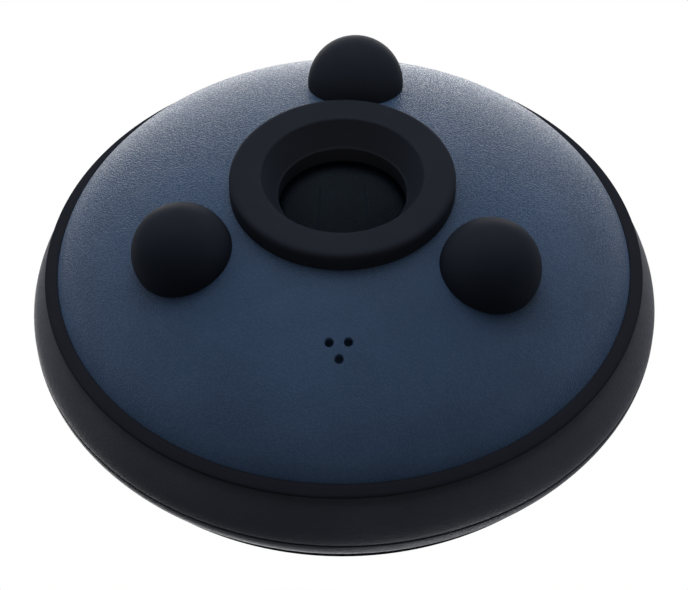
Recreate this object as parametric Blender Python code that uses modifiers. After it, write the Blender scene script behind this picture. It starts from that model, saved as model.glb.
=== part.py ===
"""Steel tongue drum standing on its three rubber feet, in metres, +Z up.

The origin is on the drum's axis, on the surface that the feet stand on. The front of the drum is
at -Y. Depths and heights along the axis are measured from the seam, the widest place of the body.
"""
import math

import bmesh
import bpy
from mathutils import Matrix, Vector

# Overall body
SEAM_RADIUS = 0.1525
STEEL = 0.0016
GAP = 0.0003
SEGMENTS = 48

# Rim bands: from the seam in to the corner where each turns in to a flat ledge
LOWER_LEDGE_DEPTH = 0.0229
LOWER_RIM_INSET = 0.0095
UPPER_LEDGE_DEPTH = 0.0190
UPPER_RIM_INSET = 0.0112
RIM_BULGE_POWER = 1.6
RIM_STRAIGHT = 0.0015
RIM_STEPS = 5
LEDGE_WIDTH = 0.0110
SEAM_HALF_OPENING = 0.0005

# Domes: each outer surface is half an ellipse of revolution, set off from the seam, and the outer
# wall of its rubber channel lies between its edge and the corner of the ledge
BOTTOM_RISE = 0.0580
BOTTOM_SET_OFF = 0.0199
BOTTOM_CHANNEL_WALL = 0.00436
TOP_RISE = 0.0460
TOP_SET_OFF = 0.0076
TOP_CHANNEL_WALL = 0.0028
DOME_STEPS = 10

# Seam seal: a web between the two rim edges and a backing ring behind them
SEAL_CLEARANCE = 0.0005
SEAL_WEB_HALF_HEIGHT = 0.0002
SEAL_WEB_RECESS = 0.0006
SEAL_BACK_HALF_HEIGHT = 0.0030
SEAL_BACK_WIDTH = 0.0025

# Rubber channel on each dome's edge
CHANNEL_FLOOR = 0.0014
BOTTOM_OUTER_LIP = 0.0042
TOP_OUTER_LIP = 0.0052
CHANNEL_INNER_LIP = 0.0040
CHANNEL_INNER_WALL = 0.0018
CHANNEL_LIP_NOSE = 0.0024
CHANNEL_CROWN = 0.0022
CHANNEL_CLEARANCE = 0.0005

# Sound port: the hole in the bottom dome, and the rubber ring that lines it
PORT_HOLE_RADIUS = 0.0372
PORT_NECK_CLEARANCE = 0.0004
PORT_NECK_WALL = 0.0056
PORT_FUNNEL_FLARE = 0.0068
PORT_FUNNEL_HEIGHT = 0.0116
PORT_FACE_WIDTH = 0.0150
PORT_RING_HEIGHT = 0.00955
PORT_RING_ROUND = 0.0028
PORT_MOUTH_ROUND = 0.0010
PORT_SLEEVE_STEP = 0.0009
PORT_SLEEVE_LENGTH = 0.0092
PORT_SLEEVE_WALL = 0.0026
PORT_INNER_FLANGE_OVERLAP = 0.0045
PORT_INNER_FLANGE = 0.0045

# Feet, placed between the port ring and the bottom dome's edge
FOOT_COUNT = 3
FOOT_NAMES = ("foot_back", "foot_left", "foot_right")
FOOT_FIRST_AZIMUTH = 95.1
FOOT_PLACE_SHARE = 0.3328
FOOT_RADIUS = 0.0236
FOOT_STAND_OFF = 0.0005
FOOT_FLAT_DEPTH = 0.0003
FOOT_SEGMENTS = 24
FOOT_RINGS = 12

# Foot fastening: insert in the rubber, screw and washer inside the drum
SCREW_RADIUS = 0.0020
SCREW_HEAD_RADIUS = 0.0040
SCREW_HEAD_HEIGHT = 0.0024
SCREW_EDGE = 0.0004
SCREW_END_CLEARANCE = 0.0006
SOCKET_RADIUS = 0.0016
SOCKET_DEPTH = 0.0013
SCREW_HOLE_CLEARANCE = 0.0004
WASHER_RADIUS = 0.0060
WASHER_THICKNESS = 0.0010
WASHER_SEAT = 0.0004
INSERT_RADIUS = 0.0050
INSERT_LENGTH = 0.0100
INSERT_RECESS = 0.0015
INSERT_END_WALL = 0.0010
INSERT_BORE_CLEARANCE = 0.00035
FASTENER_SEGMENTS = 16

# Plain cut-through dots on the underside
DOT_RADIUS = 0.0020
DOT_COUNT = 3
DOT_PATTERN_RADIUS = 0.0050
DOT_SIDE_SHIFT = 0.0026
DOT_EDGE_INSET = 0.04804
DOT_SEGMENTS = 12

# Tongues
TONGUE_COUNT = 8
TONGUE_ROOT_INSET = 0.0265
TONGUE_LONGEST = 0.0660
TONGUE_SHORTEST = 0.0470
TONGUE_WIDEST = 0.0350
TONGUE_NARROWEST = 0.0290
TONGUE_ROOT_TAPER = 0.84
CENTRE_TONGUE_RADIUS = 0.0220
CENTRE_TONGUE_HINGE_ANGLE = 74.0
SLOT_WIDTH = 0.0022
TIP_STEPS = 8
SLOT_END_STEPS = 3
FRONT_AZIMUTH = -90.0


def clear_scene():
    """Start from an empty file."""
    for found in list(bpy.data.objects):
        bpy.data.objects.remove(found, do_unlink=True)


def new_collection(name):
    collection = bpy.data.collections.new(name)
    bpy.context.scene.collection.children.link(collection)
    return collection


def new_material(name, colour, roughness, metallic=0.0):
    material = bpy.data.materials.new(name)
    material.use_nodes = True
    shader = material.node_tree.nodes["Principled BSDF"]
    shader.inputs["Base Color"].default_value = (*colour, 1.0)
    shader.inputs["Roughness"].default_value = roughness
    shader.inputs["Metallic"].default_value = metallic
    material.diffuse_color = (*colour, 1.0)
    return material


clear_scene()
PARTS = new_collection("tongue_drum")
CUTTERS = new_collection("cutters")

NAVY = new_material("navy_powder_coat", (0.022, 0.043, 0.080), 0.55)
CHARCOAL = new_material("charcoal_powder_coat", (0.016, 0.016, 0.018), 0.60)
RUBBER = new_material("black_rubber", (0.009, 0.009, 0.010), 0.50)
SEALANT = new_material("dark_sealant", (0.004, 0.004, 0.004), 0.70)
ZINC = new_material("zinc_plated_steel", (0.62, 0.62, 0.60), 0.35, 1.0)
BRASS = new_material("brass", (0.72, 0.52, 0.24), 0.35, 1.0)


def add_object(name, mesh, material=None, place=None, cutter=False):
    """Put a mesh in its collection; a cutter is only drawn as wires."""
    item = bpy.data.objects.new(name, mesh)
    (CUTTERS if cutter else PARTS).objects.link(item)
    if material is not None:
        mesh.materials.append(material)
    if place is not None:
        item.matrix_world = place
    if cutter:
        item.hide_render = True
        item.display_type = "WIRE"
    return item


def turned(name, profile, material=None, closed=False, segments=SEGMENTS, place=None, cutter=False):
    """Turn a profile of (radius, height) points about Z with a Screw modifier."""
    mesh = bpy.data.meshes.new(name)
    links = [(i, i + 1) for i in range(len(profile) - 1)]
    if closed:
        links.append((len(profile) - 1, 0))
    mesh.from_pydata([(radius, 0.0, height) for radius, height in profile], links, [])
    item = add_object(name, mesh, material, place, cutter)
    screw = item.modifiers.new("turn", "SCREW")
    screw.steps = segments
    screw.render_steps = segments
    screw.use_merge_vertices = True
    screw.merge_threshold = 0.00001
    screw.use_smooth_shade = True
    return item


def add_wall(item, thickness):
    """Give a turned surface its sheet thickness, inwards from the outer side."""
    wall = item.modifiers.new("wall", "SOLIDIFY")
    wall.thickness = thickness
    wall.offset = -1.0
    wall.use_even_offset = True


def cut(item, cutter):
    hole = item.modifiers.new("cut_" + cutter.name, "BOOLEAN")
    hole.operation = "DIFFERENCE"
    hole.solver = "EXACT"
    hole.object = cutter


def rod_cutter(name, radius, low, high, place, segments=FASTENER_SEGMENTS):
    """A cylinder along the local Z axis of place, from low to high."""
    shape = bmesh.new()
    bmesh.ops.create_cone(shape, cap_ends=True, segments=segments, radius1=radius,
                          radius2=radius, depth=high - low)
    bmesh.ops.translate(shape, verts=shape.verts, vec=(0.0, 0.0, (low + high) / 2))
    mesh = bpy.data.meshes.new(name)
    shape.to_mesh(mesh)
    shape.free()
    return add_object(name, mesh, place=place, cutter=True)


class Dome:
    """A dome's outer surface, as radius and depth from the seam, and its offsets."""

    def __init__(self, edge_radius, rise, set_off, ledge_depth, outer_lip):
        self.edge_radius = edge_radius
        self.rise = rise
        self.set_off = set_off
        self.ledge_depth = ledge_depth
        self.outer_lip = outer_lip
        self.span = edge_radius
        for _ in range(8):
            self.span = edge_radius / math.cos(self.edge_angle())

    def depth(self, radius):
        return self.set_off + self.rise * math.sqrt(1.0 - (radius / self.span) ** 2)

    def angle_at_depth(self, depth):
        return math.asin((depth - self.set_off) / self.rise)

    def angle_at_radius(self, radius):
        return math.acos(radius / self.span)

    def point(self, angle, offset=0.0):
        """Radius and depth at an ellipse angle, moved out along the normal by offset."""
        normal = Vector((math.cos(angle) / self.span, math.sin(angle) / self.rise)).normalized()
        radius = self.span * math.cos(angle) + offset * normal.x
        depth = self.set_off + self.rise * math.sin(angle) + offset * normal.y
        return max(radius, 0.0), depth

    def edge_angle(self):
        """Ellipse angle of the rim edge: its inner corner clears the rubber channel's floor."""
        floor_depth = self.ledge_depth + GAP + CHANNEL_FLOOR + GAP
        angle = self.angle_at_depth(floor_depth)
        for _ in range(8):
            inner_depth = self.point(angle, -STEEL)[1]
            angle = self.angle_at_depth(self.point(angle)[1] + floor_depth - inner_depth)
        return angle

    def profile(self, end_angle, offset=0.0):
        """Points from the rim edge to end_angle, closer together toward the edge."""
        start = self.edge_angle()
        points = []
        for step in range(DOME_STEPS + 1):
            share = (step / DOME_STEPS) ** 1.25
            points.append(self.point(start + (end_angle - start) * share, offset))
        return points


LOWER_LEDGE_RADIUS = SEAM_RADIUS - LOWER_RIM_INSET
UPPER_LEDGE_RADIUS = SEAM_RADIUS - UPPER_RIM_INSET
BOTTOM = Dome(LOWER_LEDGE_RADIUS - BOTTOM_CHANNEL_WALL, BOTTOM_RISE, BOTTOM_SET_OFF,
              LOWER_LEDGE_DEPTH, BOTTOM_OUTER_LIP)
TOP = Dome(UPPER_LEDGE_RADIUS - TOP_CHANNEL_WALL, TOP_RISE, TOP_SET_OFF,
           UPPER_LEDGE_DEPTH, TOP_OUTER_LIP)
POLE = math.pi / 2

# The port ring is built up from its hole: neck, throat, mouth and outer edge
PORT_NECK_RADIUS = PORT_HOLE_RADIUS - PORT_NECK_CLEARANCE
PORT_THROAT_RADIUS = PORT_NECK_RADIUS - PORT_NECK_WALL
PORT_SLEEVE_RADIUS = PORT_THROAT_RADIUS - PORT_SLEEVE_STEP
PORT_MOUTH_RADIUS = PORT_THROAT_RADIUS + PORT_FUNNEL_FLARE
PORT_RING_RADIUS = PORT_MOUTH_RADIUS + PORT_FACE_WIDTH
PORT_FACE_DEPTH = BOTTOM.depth(PORT_RING_RADIUS) + PORT_RING_HEIGHT
PORT_THROAT_DEPTH = PORT_FACE_DEPTH - PORT_FUNNEL_HEIGHT
PORT_SLEEVE_DEPTH = PORT_THROAT_DEPTH - PORT_SLEEVE_LENGTH

# The feet set the seam's height: their lowest points stand on the floor, less the flat cut
FOOT_ORBIT = PORT_RING_RADIUS + FOOT_PLACE_SHARE * (BOTTOM.edge_radius - PORT_RING_RADIUS)
FOOT_TILT = math.atan2(FOOT_ORBIT / BOTTOM.span ** 2,
                       math.sin(BOTTOM.angle_at_radius(FOOT_ORBIT)) / BOTTOM_RISE)
FOOT_CENTRE_DEPTH = BOTTOM.depth(FOOT_ORBIT) + FOOT_STAND_OFF * math.cos(FOOT_TILT)
SEAM_HEIGHT = FOOT_CENTRE_DEPTH + FOOT_RADIUS - FOOT_FLAT_DEPTH

SCREW_REACH = INSERT_RECESS + INSERT_LENGTH - INSERT_END_WALL - SCREW_END_CLEARANCE
TONGUE_ROOT_RADIUS = TOP.edge_radius - TONGUE_ROOT_INSET


def below(points):
    """Radius and depth under the seam to radius and height."""
    return [(radius, SEAM_HEIGHT - depth) for radius, depth in points]


def above(points):
    """Radius and depth over the seam to radius and height."""
    return [(radius, SEAM_HEIGHT + depth) for radius, depth in points]


def rim_curve(ledge_radius, ledge_depth):
    """Outer line of a rim band: upright at the seam, then bulging in to its ledge corner."""
    points = [(SEAM_RADIUS, SEAM_HALF_OPENING)]
    start = SEAM_HALF_OPENING + RIM_STRAIGHT
    for step in range(RIM_STEPS + 1):
        share = step / RIM_STEPS
        inset = (SEAM_RADIUS - ledge_radius) * share ** RIM_BULGE_POWER
        points.append((SEAM_RADIUS - inset, start + (ledge_depth - start) * share))
    points.append((ledge_radius - LEDGE_WIDTH, ledge_depth))
    return points


def channel_profile(dome, ledge_radius):
    """Rubber channel: outer face, nose, groove for the dome's edge, inner lip and base."""
    base = dome.ledge_depth + GAP
    floor = base + CHANNEL_FLOOR
    edge = dome.edge_angle()
    lip_top = dome.angle_at_depth(base + dome.outer_lip)
    inner_top = dome.angle_at_depth(dome.point(edge)[1] + CHANNEL_INNER_LIP)
    nose_radius, nose_depth = dome.point(lip_top, CHANNEL_CLEARANCE)
    groove_outer = dome.point(edge, CHANNEL_CLEARANCE)
    groove_inner_radius = dome.point(edge, -STEEL - CHANNEL_CLEARANCE)[0]
    inner_lip = dome.point(inner_top, -STEEL - CHANNEL_CLEARANCE)
    outer = []
    for share in (0.0, 0.3, 0.6, 0.85):
        side = dome.point(edge + (lip_top - edge) * share)[0]
        blend = side + (ledge_radius - dome.point(edge)[0])
        thinning = (blend - side - CHANNEL_LIP_NOSE) * share ** 2
        depth = base + dome.outer_lip * share
        outer.append((blend - thinning + CHANNEL_CROWN * math.sin(math.pi * share), depth))
    outer.append((nose_radius + CHANNEL_LIP_NOSE / 2, nose_depth - CHANNEL_LIP_NOSE / 4))
    inner_radius = inner_lip[0] - CHANNEL_INNER_WALL
    groove = [(nose_radius, nose_depth), groove_outer, (groove_outer[0], floor),
              (groove_inner_radius, floor), inner_lip]
    return outer + groove + [(inner_radius, inner_lip[1]), (inner_radius, base)]


def make_body():
    """The two domes, two rim bands, two rubber channels and the seam seal."""
    hole_angle = BOTTOM.angle_at_radius(PORT_HOLE_RADIUS)
    bottom = turned("bottom_shell", below(BOTTOM.profile(hole_angle)), NAVY)
    add_wall(bottom, STEEL)
    top = turned("top_shell", above(reversed(TOP.profile(POLE))), NAVY)
    add_wall(top, STEEL)

    lower = turned("rim_lower", below(rim_curve(LOWER_LEDGE_RADIUS, LOWER_LEDGE_DEPTH)), CHARCOAL)
    add_wall(lower, STEEL)
    upper_line = above(rim_curve(UPPER_LEDGE_RADIUS, UPPER_LEDGE_DEPTH))
    upper = turned("rim_upper", upper_line[::-1], CHARCOAL)
    add_wall(upper, STEEL)

    turned("rubber_ring_bottom", below(channel_profile(BOTTOM, LOWER_LEDGE_RADIUS)), RUBBER,
           closed=True)
    top_line = above(channel_profile(TOP, UPPER_LEDGE_RADIUS))
    turned("rubber_ring_top", top_line[::-1], RUBBER, closed=True)
    make_seam_seal()
    return top, bottom


def make_seam_seal():
    """A T section: its web fills the seam line, its back bridges the two rim edges."""
    web = SEAM_RADIUS - SEAL_WEB_RECESS
    back = SEAM_RADIUS - STEEL - SEAL_CLEARANCE
    thin = SEAL_WEB_HALF_HEIGHT
    tall = SEAL_BACK_HALF_HEIGHT
    section = [(back - SEAL_BACK_WIDTH, tall), (back - tall / 6, tall), (back, thin), (web, thin),
               (web, -thin), (back, -thin), (back - tall / 6, -tall), (back - SEAL_BACK_WIDTH, -tall)]
    turned("seam_seal", [(radius, SEAM_HEIGHT + height) for radius, height in section], SEALANT,
           closed=True)


def make_port_ring():
    """Rubber ring: outer flange, neck in the hole, funnel throat, inner flange and sleeve."""
    seat = BOTTOM.angle_at_radius(PORT_RING_RADIUS)
    hole = BOTTOM.angle_at_radius(PORT_HOLE_RADIUS)
    under_flange = [BOTTOM.point(seat + (hole - seat) * step / 3, GAP) for step in range(4)]
    under_flange[-1] = (PORT_NECK_RADIUS, under_flange[-1][1])
    flange_radius = PORT_HOLE_RADIUS + PORT_INNER_FLANGE_OVERLAP
    inside = [BOTTOM.point(BOTTOM.angle_at_radius(radius), -STEEL - GAP)
              for radius in (PORT_HOLE_RADIUS, flange_radius)]
    inside[0] = (PORT_NECK_RADIUS, inside[0][1])
    face = PORT_FACE_DEPTH
    rounding = []
    for step in range(4):
        turn = POLE * step / 3
        rounding.append((PORT_RING_RADIUS - PORT_RING_ROUND * (1.0 - math.cos(turn)),
                         face - PORT_RING_ROUND * (1.0 - math.sin(turn))))
    mouth = []
    for step in range(3):
        turn = POLE * step / 2
        mouth.append((PORT_MOUTH_RADIUS + PORT_MOUTH_ROUND * (1.0 - math.sin(turn)),
                      face - PORT_MOUTH_ROUND * (1.0 - math.cos(turn))))
    step_depth = PORT_THROAT_DEPTH - (PORT_THROAT_RADIUS - PORT_SLEEVE_RADIUS)
    sleeve = [(PORT_SLEEVE_RADIUS, step_depth), (PORT_SLEEVE_RADIUS, PORT_SLEEVE_DEPTH),
              (PORT_SLEEVE_RADIUS + PORT_SLEEVE_WALL, PORT_SLEEVE_DEPTH)]
    flange_depth = inside[1][1] - PORT_INNER_FLANGE
    flange = [(PORT_SLEEVE_RADIUS + PORT_SLEEVE_WALL, flange_depth),
              (flange_radius, flange_depth)]
    section = (rounding + mouth + [(PORT_THROAT_RADIUS, PORT_THROAT_DEPTH)] + sleeve + flange
               + [inside[1], inside[0]] + under_flange[::-1])
    turned("port_ring", below(section), RUBBER, closed=True)


def foot_place(azimuth):
    """Frame on the dome's outer surface at a foot, its Z axis pointing into the drum."""
    around = Vector((math.cos(azimuth), math.sin(azimuth), 0.0))
    origin = around * FOOT_ORBIT
    origin.z = SEAM_HEIGHT - BOTTOM.depth(FOOT_ORBIT)
    inward = Vector((0.0, 0.0, math.cos(FOOT_TILT))) - around * math.sin(FOOT_TILT)
    sideways = inward.cross(around).normalized()
    turn = Matrix((sideways.cross(inward), sideways, inward)).transposed().to_4x4()
    return Matrix.Translation(origin) @ turn


def foot_seat_cutter():
    """The space of the bottom dome and its gap, which shapes the underside of each foot."""
    line = below(BOTTOM.profile(POLE, GAP))
    return turned("foot_seat_cutter", [(0.0, line[0][1]), *line], cutter=True)


def floor_cutter():
    """Everything under the floor, which flattens the tip of each foot."""
    shape = bmesh.new()
    bmesh.ops.create_cube(shape, size=2.0 * SEAM_RADIUS)
    bmesh.ops.translate(shape, verts=shape.verts, vec=(0.0, 0.0, -SEAM_RADIUS))
    mesh = bpy.data.meshes.new("floor_cutter")
    shape.to_mesh(mesh)
    shape.free()
    return add_object("floor_cutter", mesh, cutter=True)


def make_foot(name, place, seat, floor):
    """A rubber ball that stands on the dome, with a pocket for its insert."""
    shape = bmesh.new()
    bmesh.ops.create_uvsphere(shape, u_segments=FOOT_SEGMENTS, v_segments=FOOT_RINGS,
                              radius=FOOT_RADIUS)
    mesh = bpy.data.meshes.new(name)
    shape.to_mesh(mesh)
    shape.free()
    mesh.shade_smooth()
    centre = place @ Vector((0.0, 0.0, -FOOT_STAND_OFF))
    foot = add_object(name, mesh, RUBBER, Matrix.Translation(centre))
    pocket_end = -INSERT_RECESS - INSERT_LENGTH - GAP
    pocket = rod_cutter(name + "_pocket", INSERT_RADIUS + GAP, pocket_end, STEEL, place)
    cut(foot, seat)
    cut(foot, floor)
    cut(foot, pocket)


def make_fastening(name, place):
    """Insert, washer and screw of one foot, turned about the foot's own axis."""
    bore = SCREW_RADIUS + INSERT_BORE_CLEARANCE
    mouth = -INSERT_RECESS
    end = mouth - INSERT_LENGTH
    turned(name.replace("foot", "foot_insert"),
           [(0.0, end + INSERT_END_WALL), (bore, end + INSERT_END_WALL), (bore, mouth),
            (INSERT_RADIUS, mouth), (INSERT_RADIUS, end), (0.0, end)],
           BRASS, segments=FASTENER_SEGMENTS, place=place)

    washer_low = STEEL + WASHER_SEAT
    washer_high = washer_low + WASHER_THICKNESS
    turned(name.replace("foot", "foot_washer"),
           [(bore, washer_high), (WASHER_RADIUS, washer_high), (WASHER_RADIUS, washer_low),
            (bore, washer_low)],
           ZINC, closed=True, segments=FASTENER_SEGMENTS, place=place)

    head_low = washer_high + GAP
    head_high = head_low + SCREW_HEAD_HEIGHT
    screw = turned(name.replace("foot", "foot_screw"),
                   [(0.0, head_high), (SCREW_HEAD_RADIUS - SCREW_EDGE, head_high),
                    (SCREW_HEAD_RADIUS, head_high - SCREW_EDGE), (SCREW_HEAD_RADIUS, head_low),
                    (SCREW_RADIUS, head_low), (SCREW_RADIUS, SCREW_EDGE - SCREW_REACH),
                    (SCREW_RADIUS - SCREW_EDGE, -SCREW_REACH), (0.0, -SCREW_REACH)],
                   ZINC, segments=FASTENER_SEGMENTS, place=place)
    socket = rod_cutter(name + "_socket", SOCKET_RADIUS, head_high - SOCKET_DEPTH,
                        head_high + SOCKET_DEPTH, place, segments=6)
    cut(screw, socket)


def make_feet(bottom):
    """Three feet with their fastenings, and the screw holes in the bottom shell."""
    seat = foot_seat_cutter()
    floor = floor_cutter()
    for index, name in enumerate(FOOT_NAMES):
        azimuth = math.radians(FOOT_FIRST_AZIMUTH + 360.0 * index / FOOT_COUNT)
        place = foot_place(azimuth)
        make_foot(name, place, seat, floor)
        make_fastening(name, place)
        hole = rod_cutter(name + "_screw_hole", SCREW_RADIUS + SCREW_HOLE_CLEARANCE, -STEEL,
                          2.0 * STEEL, place)
        cut(bottom, hole)


def cut_dots(bottom):
    """Three plain round holes in a small triangle on the front of the underside."""
    for index in range(DOT_COUNT):
        turn = math.radians(FRONT_AZIMUTH + 360.0 * index / DOT_COUNT)
        x = DOT_SIDE_SHIFT + DOT_PATTERN_RADIUS * math.cos(turn)
        y = DOT_EDGE_INSET - BOTTOM.edge_radius + DOT_PATTERN_RADIUS * math.sin(turn)
        height = SEAM_HEIGHT - BOTTOM.depth(math.hypot(x, y))
        dot = rod_cutter("dot_%d" % (index + 1), DOT_RADIUS, -3.0 * STEEL, 4.0 * STEEL,
                         Matrix.Translation((x, y, height)), segments=DOT_SEGMENTS)
        cut(bottom, dot)


def arc(centre, radius, start, end, steps):
    """Points on an arc, angles in radians."""
    return [centre + radius * Vector((math.cos(start + (end - start) * step / steps),
                                      math.sin(start + (end - start) * step / steps)))
            for step in range(steps + 1)]


def slot_outline(path):
    """Outline of a slot of even width along a path, with round ends."""
    half = SLOT_WIDTH / 2
    left, right = [], []
    for index, point in enumerate(path):
        ahead = path[min(index + 1, len(path) - 1)] - point
        behind = point - path[max(index - 1, 0)]
        ahead = ahead.normalized() if ahead.length else behind.normalized()
        behind = behind.normalized() if behind.length else ahead
        along = (ahead + behind).normalized()
        side = Vector((-along.y, along.x)) * half / max(along.dot(ahead), 0.5)
        left.append(point + side)
        right.append(point - side)

    def end_cap(centre, start_point):
        first = math.atan2(start_point.y - centre.y, start_point.x - centre.x)
        return arc(centre, half, first, first - math.pi, SLOT_END_STEPS)[1:-1]

    return left + end_cap(path[-1], left[-1]) + right[::-1] + end_cap(path[0], right[0])


def slot_cutter(name, path, angle):
    """An upright prism of the slot's outline, turned about the drum's axis by angle."""
    outline = slot_outline(path)
    curve = bpy.data.curves.new(name, "CURVE")
    curve.dimensions = "2D"
    curve.fill_mode = "BOTH"
    curve.extrude = TOP_RISE / 2
    spline = curve.splines.new("POLY")
    spline.points.add(len(outline) - 1)
    for corner, point in zip(spline.points, outline):
        corner.co = (point.x, point.y, 0.0, 1.0)
    spline.use_cyclic_u = True
    drawn = bpy.data.objects.new(name + "_outline", curve)
    CUTTERS.objects.link(drawn)
    middle = SEAM_HEIGHT + TOP_SET_OFF + TOP_RISE
    drawn.matrix_world = Matrix.Translation((0.0, 0.0, middle)) @ Matrix.Rotation(angle, 4, "Z")
    bpy.context.view_layer.update()
    mesh = bpy.data.meshes.new_from_object(drawn.evaluated_get(bpy.context.evaluated_depsgraph_get()))
    shape = bmesh.new()
    shape.from_mesh(mesh)
    bmesh.ops.remove_doubles(shape, verts=shape.verts, dist=0.000001)
    bmesh.ops.recalc_face_normals(shape, faces=shape.faces)
    shape.to_mesh(mesh)
    shape.free()
    place = drawn.matrix_world.copy()
    bpy.data.objects.remove(drawn)
    return add_object(name, mesh, place=place, cutter=True)


def tongue_path(length, width):
    """U-shaped line of one tongue, its root outwards along +X and its tip toward the centre."""
    tip = Vector((TONGUE_ROOT_RADIUS - length + width / 2, 0.0))
    root_half = TONGUE_ROOT_TAPER * width / 2
    nose = arc(tip, width / 2, POLE, 3 * POLE, TIP_STEPS)
    return [Vector((TONGUE_ROOT_RADIUS, root_half)), *nose, Vector((TONGUE_ROOT_RADIUS, -root_half))]


def note_rank(position):
    """Order of a ring position in the scale: lowest in front, rising from side to side."""
    if position == 0:
        return 0
    if position <= TONGUE_COUNT // 2:
        return 2 * position - 1
    return 2 * (TONGUE_COUNT - position)


def cut_tongues(top):
    """Eight ring tongues and one in the centre, each set free by one slot."""
    for position in range(TONGUE_COUNT):
        share = note_rank(position) / (TONGUE_COUNT - 1)
        length = TONGUE_LONGEST + (TONGUE_SHORTEST - TONGUE_LONGEST) * share
        width = TONGUE_WIDEST + (TONGUE_NARROWEST - TONGUE_WIDEST) * share
        angle = math.radians(FRONT_AZIMUTH + 360.0 * position / TONGUE_COUNT)
        cut(top, slot_cutter("tongue_slot_%d" % (position + 1), tongue_path(length, width), angle))
    half_hinge = math.radians(CENTRE_TONGUE_HINGE_ANGLE) / 2
    ring = arc(Vector((0.0, 0.0)), CENTRE_TONGUE_RADIUS, half_hinge, 2 * math.pi - half_hinge,
               3 * TIP_STEPS)
    cut(top, slot_cutter("centre_slot", ring, -math.radians(FRONT_AZIMUTH)))


top_shell, bottom_shell = make_body()
make_port_ring()
make_feet(bottom_shell)
cut_dots(bottom_shell)
cut_tongues(top_shell)
print("seam height %.5f, overall height %.5f" % (SEAM_HEIGHT, SEAM_HEIGHT + TOP.point(POLE)[1]))
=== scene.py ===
# %% [markdown]
# # A steel tongue drum, dressed for a studio photograph
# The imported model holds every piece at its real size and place, as plain faceted solids.
# This lesson lays a fine surface over each of them, gives every surface a finish made of
# nodes, and lights the drum softly. All lengths are metres, and +Z is up.

import math

import bmesh
import bpy
import numpy as np
from mathutils import Matrix, Vector


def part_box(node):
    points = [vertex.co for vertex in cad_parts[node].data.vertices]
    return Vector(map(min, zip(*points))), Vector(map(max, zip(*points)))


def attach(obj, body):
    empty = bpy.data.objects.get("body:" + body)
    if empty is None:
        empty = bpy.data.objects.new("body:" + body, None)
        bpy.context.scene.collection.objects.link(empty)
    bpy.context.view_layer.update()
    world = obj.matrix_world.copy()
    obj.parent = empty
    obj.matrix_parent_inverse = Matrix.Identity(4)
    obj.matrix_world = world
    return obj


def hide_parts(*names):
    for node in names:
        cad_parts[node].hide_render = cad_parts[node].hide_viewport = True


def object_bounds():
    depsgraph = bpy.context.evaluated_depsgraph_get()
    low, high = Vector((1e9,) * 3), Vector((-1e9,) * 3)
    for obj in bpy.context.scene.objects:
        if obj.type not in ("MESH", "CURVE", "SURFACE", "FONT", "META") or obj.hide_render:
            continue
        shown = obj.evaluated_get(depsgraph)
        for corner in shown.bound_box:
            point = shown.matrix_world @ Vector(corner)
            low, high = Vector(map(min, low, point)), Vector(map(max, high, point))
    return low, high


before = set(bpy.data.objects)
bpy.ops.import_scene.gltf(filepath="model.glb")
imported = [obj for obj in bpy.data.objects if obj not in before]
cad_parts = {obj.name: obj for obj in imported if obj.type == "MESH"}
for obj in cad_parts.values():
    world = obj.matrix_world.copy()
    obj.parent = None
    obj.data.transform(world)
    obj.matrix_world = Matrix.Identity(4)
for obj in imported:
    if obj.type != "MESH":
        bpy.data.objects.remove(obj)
cad_low, cad_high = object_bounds()
print("nodes in the frame:", len(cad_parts))
print("overall size:", [round(v, 4) for v in (cad_high - cad_low)])

# %% [markdown]
# ## The camera
# The drum is photographed lying on its tongues, with the underside toward the lens. Here it
# stands on its feet, so the same view needs a camera that looks up from below and is rolled
# half a turn. The angles and the distance come from fitting circles of known proportion to
# the ellipses in the photograph. The image is taken to be 688 by 590 pixels.

# %% Camera
IMAGE_WIDTH = 688
FOCAL_LENGTH_PIXELS = 2100.0
SENSOR_WIDTH_MM = 36.0
CAMERA_ANGLE = math.radians(47.335)
CAMERA_ROLL = math.radians(-0.835)
CAMERA_DISTANCE_IN_RADII = 6.811
NEAREST_SEEN = 0.01

seal_low, seal_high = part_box("seam_seal")
SEAM_Z = (seal_low.z + seal_high.z) / 2
SEAM_RADIUS = cad_high.x


def make_camera():
    """Camera on a circle round the seam's centre, under the drum, its image turned upside down."""
    forward = Vector((0.0, math.cos(CAMERA_ANGLE), math.sin(CAMERA_ANGLE)))
    level_right = Vector((-1.0, 0.0, 0.0))
    level_up = Vector((0.0, math.sin(CAMERA_ANGLE), -math.cos(CAMERA_ANGLE)))
    right = math.cos(CAMERA_ROLL) * level_right + math.sin(CAMERA_ROLL) * level_up
    up = math.cos(CAMERA_ROLL) * level_up - math.sin(CAMERA_ROLL) * level_right
    data = bpy.data.cameras.new("photo_camera")
    data.sensor_fit = "HORIZONTAL"
    data.sensor_width = SENSOR_WIDTH_MM
    data.lens = FOCAL_LENGTH_PIXELS / IMAGE_WIDTH * SENSOR_WIDTH_MM
    data.clip_start = NEAREST_SEEN
    camera = bpy.data.objects.new("photo_camera", data)
    bpy.context.scene.collection.objects.link(camera)
    place = Vector((0.0, 0.0, SEAM_Z)) - forward * CAMERA_DISTANCE_IN_RADII * SEAM_RADIUS
    turn = Matrix((right, up, -forward)).transposed().to_4x4()
    camera.matrix_world = Matrix.Translation(place) @ turn
    bpy.context.scene.camera = camera
    return camera


photo_camera = make_camera()
print("camera at", [round(v, 3) for v in photo_camera.location], "lens", photo_camera.data.lens)

# %% [markdown]
# ## The drum's driving sizes
# Both domes are halves of an ellipse of revolution. Span is the ellipse's radius at its base,
# rise its height, and set-off the height of that base above the seam. The finer surfaces use
# the same values as the solids, so each new piece lies exactly where its solid does.

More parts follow.
